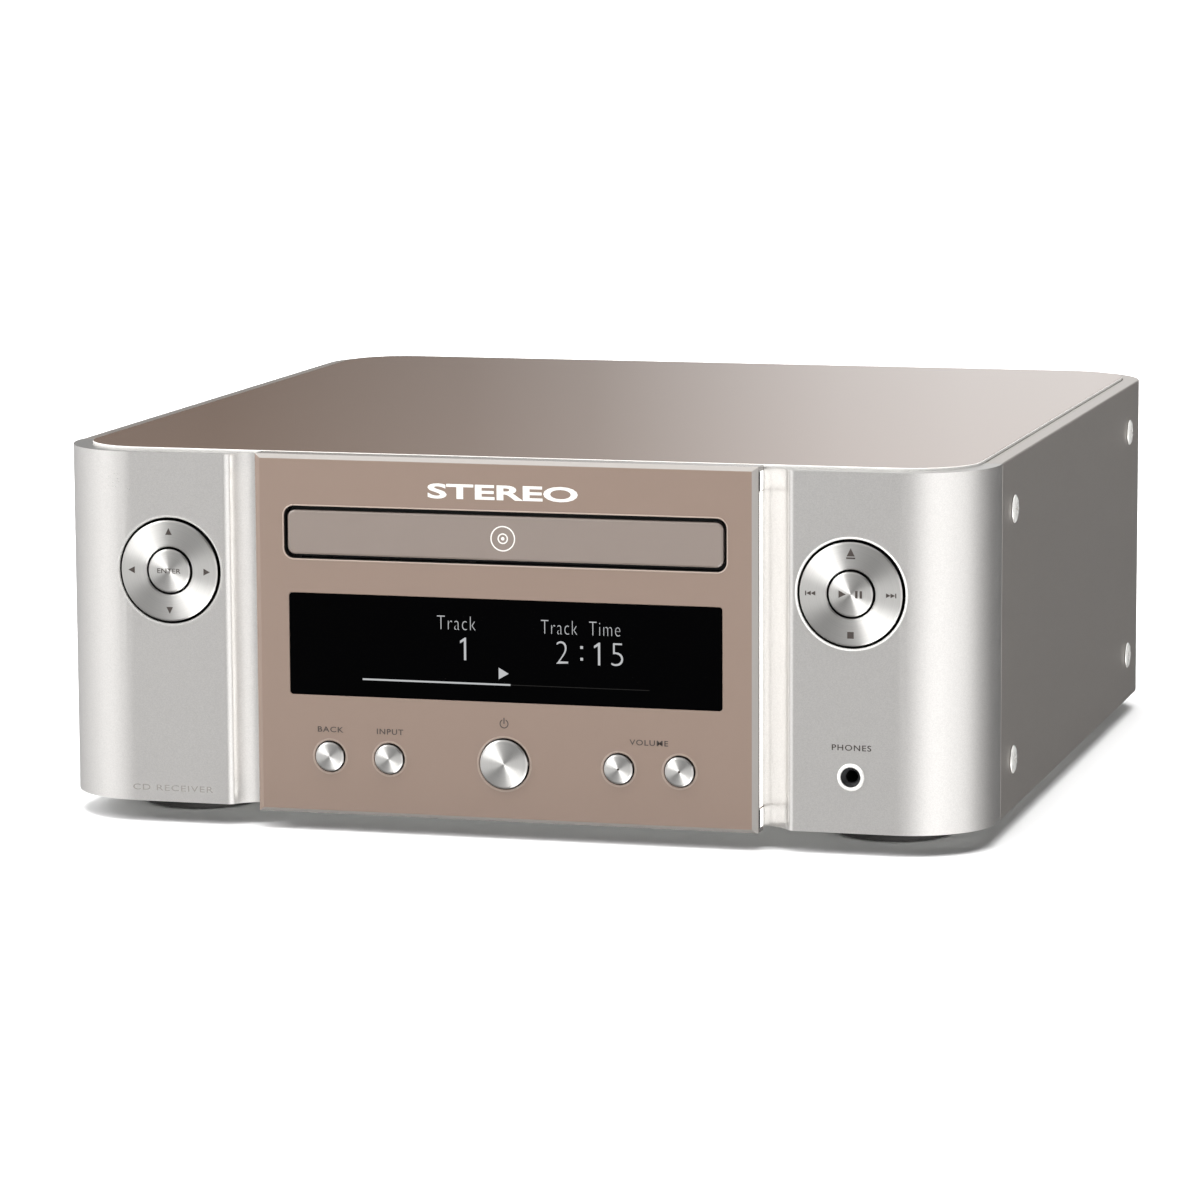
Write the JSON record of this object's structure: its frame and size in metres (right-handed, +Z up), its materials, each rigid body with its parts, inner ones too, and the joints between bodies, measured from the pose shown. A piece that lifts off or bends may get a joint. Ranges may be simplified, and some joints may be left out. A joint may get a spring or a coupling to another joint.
{
  "type": "compact cd receiver",
  "caption": "Compact CD receiver: slot-fronted disc tray, display, push buttons and two ring keypads in a round-cornered silver case with a tinted acrylic top.",
  "frame": {"origin": "on the surface the feet rest on, below the middle of the overall box", "axes": "+X to the right seen from the front, +Y from the front to the rear panel, +Z up"},
  "size_m": [0.282, 0.303, 0.111],
  "materials": {
    "silver_front": "fine silver metallic paint, satin",
    "silver_case": "fine silver metallic paint on sheet steel, satin",
    "top_acrylic": "tinted acrylic over silver, gloss",
    "rose_acrylic": "rose-champagne back-painted acrylic, gloss",
    "display_window": "black smoked acrylic, gloss",
    "light_guide": "clear light pipe, lit white",
    "spun_aluminium": "spun face, bright",
    "plated_steel": "zinc-plated sheet",
    "bright_metal": "nickel plated",
    "black_plastic": "moulded black, fine texture",
    "white_nylon": "white acetal",
    "red_plastic": "moulded red",
    "circuit_board": "green solder mask over glass-epoxy board",
    "foot_rubber": "moulded black",
    "rear_panel_black": "black powder coat, fine texture",
    "heatsink_alloy": "extruded, plain"
  },
  "bodies": {
    "root": {"front_bezel": "silver_front", "case_cover": "silver_case", "top_plate": "top_acrylic", "bottom_chassis": "plated_steel", "centre_fascia": "rose_acrylic", "display_window": "display_window", "display_module": "circuit_board", "light_guide_left": "light_guide", "light_guide_right": "light_guide", "headphone_jack": "bright_metal", "loader_frame": "black_plastic", "loading_motor": "plated_steel", "clamper_bridge": "plated_steel", "traverse_chassis": "plated_steel", "spindle_motor": "plated_steel", "guide_rod": "bright_metal", "sled_motor": "plated_steel", "front_board": "circuit_board", "main_board": "circuit_board", "power_supply_board": "circuit_board", "network_board": "circuit_board", "heatsink": "heatsink_alloy", "tuner_module": "bright_metal", "rear_panel": "rear_panel_black", "speaker_terminals": "black_plastic", "analogue_sockets": "black_plastic", "mains_inlet": "black_plastic", "front_left_foot": "foot_rubber", "front_right_foot": "foot_rubber", "rear_left_foot": "foot_rubber", "rear_right_foot": "foot_rubber", "case_screw_left_1": "bright_metal", "case_screw_left_2": "bright_metal", "case_screw_left_3": "bright_metal", "case_screw_left_4": "bright_metal", "case_screw_right_1": "bright_metal", "case_screw_right_2": "bright_metal", "case_screw_right_3": "bright_metal", "case_screw_right_4": "bright_metal"},
    "tray": {"disc_tray": "black_plastic", "tray_door": "rose_acrylic"},
    "motor_pinion": {"motor_pinion": "white_nylon"},
    "loading_gear": {"loading_gear": "white_nylon"},
    "turntable": {"turntable": "black_plastic"},
    "disc_clamp": {"disc_clamp": "black_plastic"},
    "pickup": {"laser_pickup": "black_plastic"},
    "lead_screw": {"lead_screw": "bright_metal"},
    "back_button": {"back_button": "spun_aluminium"},
    "input_button": {"input_button": "spun_aluminium"},
    "power_button": {"power_button": "spun_aluminium"},
    "volume_down_button": {"volume_down_button": "spun_aluminium"},
    "volume_up_button": {"volume_up_button": "spun_aluminium"},
    "cursor_ring": {"cursor_ring": "spun_aluminium"},
    "enter_button": {"enter_button": "spun_aluminium"},
    "transport_ring": {"transport_ring": "spun_aluminium"},
    "play_button": {"play_button": "spun_aluminium"},
    "speaker_post_1": {"speaker_post_1": "black_plastic"},
    "speaker_post_2": {"speaker_post_2": "red_plastic"},
    "speaker_post_3": {"speaker_post_3": "black_plastic"},
    "speaker_post_4": {"speaker_post_4": "red_plastic"}
  },
  "joints": [
    {"name": "tray_slide", "type": "slide", "parent": "root", "child": "tray", "axis": [0, -1, 0], "range_m": [0, 0.13]},
    {"name": "loading_gear_turn", "type": "hinge", "parent": "root", "child": "loading_gear", "pos_m": [-0.045, -0.117, 0.0755], "axis": [0, 0, 1], "range_deg": [0, 746]},
    {"name": "motor_pinion_turn", "type": "hinge", "parent": "root", "child": "motor_pinion", "pos_m": [-0.024, -0.117, 0.0755], "axis": [0, 0, 1], "range_deg": [-2385, 0]},
    {"name": "turntable_spin", "type": "hinge", "parent": "root", "child": "turntable", "pos_m": [0, -0.075, 0.088], "axis": [0, 0, 1], "continuous": true},
    {"name": "disc_clamp_spin", "type": "hinge", "parent": "root", "child": "disc_clamp", "pos_m": [0, -0.075, 0.096], "axis": [0, 0, 1], "continuous": true},
    {"name": "pickup_slide", "type": "slide", "parent": "root", "child": "pickup", "axis": [0, 1, 0], "range_m": [0, 0.034]},
    {"name": "lead_screw_turn", "type": "hinge", "parent": "root", "child": "lead_screw", "pos_m": [-0.024, -0.029, 0.078], "axis": [0, 1, 0], "range_deg": [0, 2041]},
    {"name": "back_button_press", "type": "slide", "parent": "root", "child": "back_button", "axis": [0, 1, 0], "range_m": [0, 0.001], "stiffness_N_per_m": 400, "springref_m": -0.001},
    {"name": "input_button_press", "type": "slide", "parent": "root", "child": "input_button", "axis": [0, 1, 0], "range_m": [0, 0.001], "stiffness_N_per_m": 400, "springref_m": -0.001},
    {"name": "power_button_press", "type": "slide", "parent": "root", "child": "power_button", "axis": [0, 1, 0], "range_m": [0, 0.001], "stiffness_N_per_m": 400, "springref_m": -0.001},
    {"name": "volume_down_button_press", "type": "slide", "parent": "root", "child": "volume_down_button", "axis": [0, 1, 0], "range_m": [0, 0.001], "stiffness_N_per_m": 400, "springref_m": -0.001},
    {"name": "volume_up_button_press", "type": "slide", "parent": "root", "child": "volume_up_button", "axis": [0, 1, 0], "range_m": [0, 0.001], "stiffness_N_per_m": 400, "springref_m": -0.001},
    {"name": "enter_button_press", "type": "slide", "parent": "root", "child": "enter_button", "axis": [0, 1, 0], "range_m": [0, 0.001], "stiffness_N_per_m": 400, "springref_m": -0.001},
    {"name": "play_button_press", "type": "slide", "parent": "root", "child": "play_button", "axis": [0, 1, 0], "range_m": [0, 0.001], "stiffness_N_per_m": 400, "springref_m": -0.001},
    {"name": "cursor_ring_rock", "type": "hinge", "parent": "root", "child": "cursor_ring", "pos_m": [-0.1023, -0.1454, 0.0754], "axis": [1, 0, 0], "range_deg": [-2.5, 2.5], "stiffness_Nm_per_rad": 0.4},
    {"name": "transport_ring_rock", "type": "hinge", "parent": "root", "child": "transport_ring", "pos_m": [0.1023, -0.1454, 0.0754], "axis": [1, 0, 0], "range_deg": [-2.5, 2.5], "stiffness_Nm_per_rad": 0.4},
    {"name": "speaker_post_1_turn", "type": "hinge", "parent": "root", "child": "speaker_post_1", "pos_m": [0.042, 0.1474, 0.037], "axis": [0, 1, 0], "range_deg": [-1080, 0]},
    {"name": "speaker_post_2_turn", "type": "hinge", "parent": "root", "child": "speaker_post_2", "pos_m": [0.061, 0.1474, 0.037], "axis": [0, 1, 0], "range_deg": [-1080, 0]},
    {"name": "speaker_post_3_turn", "type": "hinge", "parent": "root", "child": "speaker_post_3", "pos_m": [0.08, 0.1474, 0.037], "axis": [0, 1, 0], "range_deg": [-1080, 0]},
    {"name": "speaker_post_4_turn", "type": "hinge", "parent": "root", "child": "speaker_post_4", "pos_m": [0.099, 0.1474, 0.037], "axis": [0, 1, 0], "range_deg": [-1080, 0]}
  ],
  "couplings": [
    {"joint": "loading_gear_turn", "follows": "tray_slide", "rad_per_m": 100},
    {"joint": "motor_pinion_turn", "follows": "tray_slide", "rad_per_m": -320},
    {"joint": "disc_clamp_spin", "follows": "turntable_spin", "ratio": 1},
    {"joint": "lead_screw_turn", "follows": "pickup_slide", "rad_per_m": 1047.2}
  ]
}
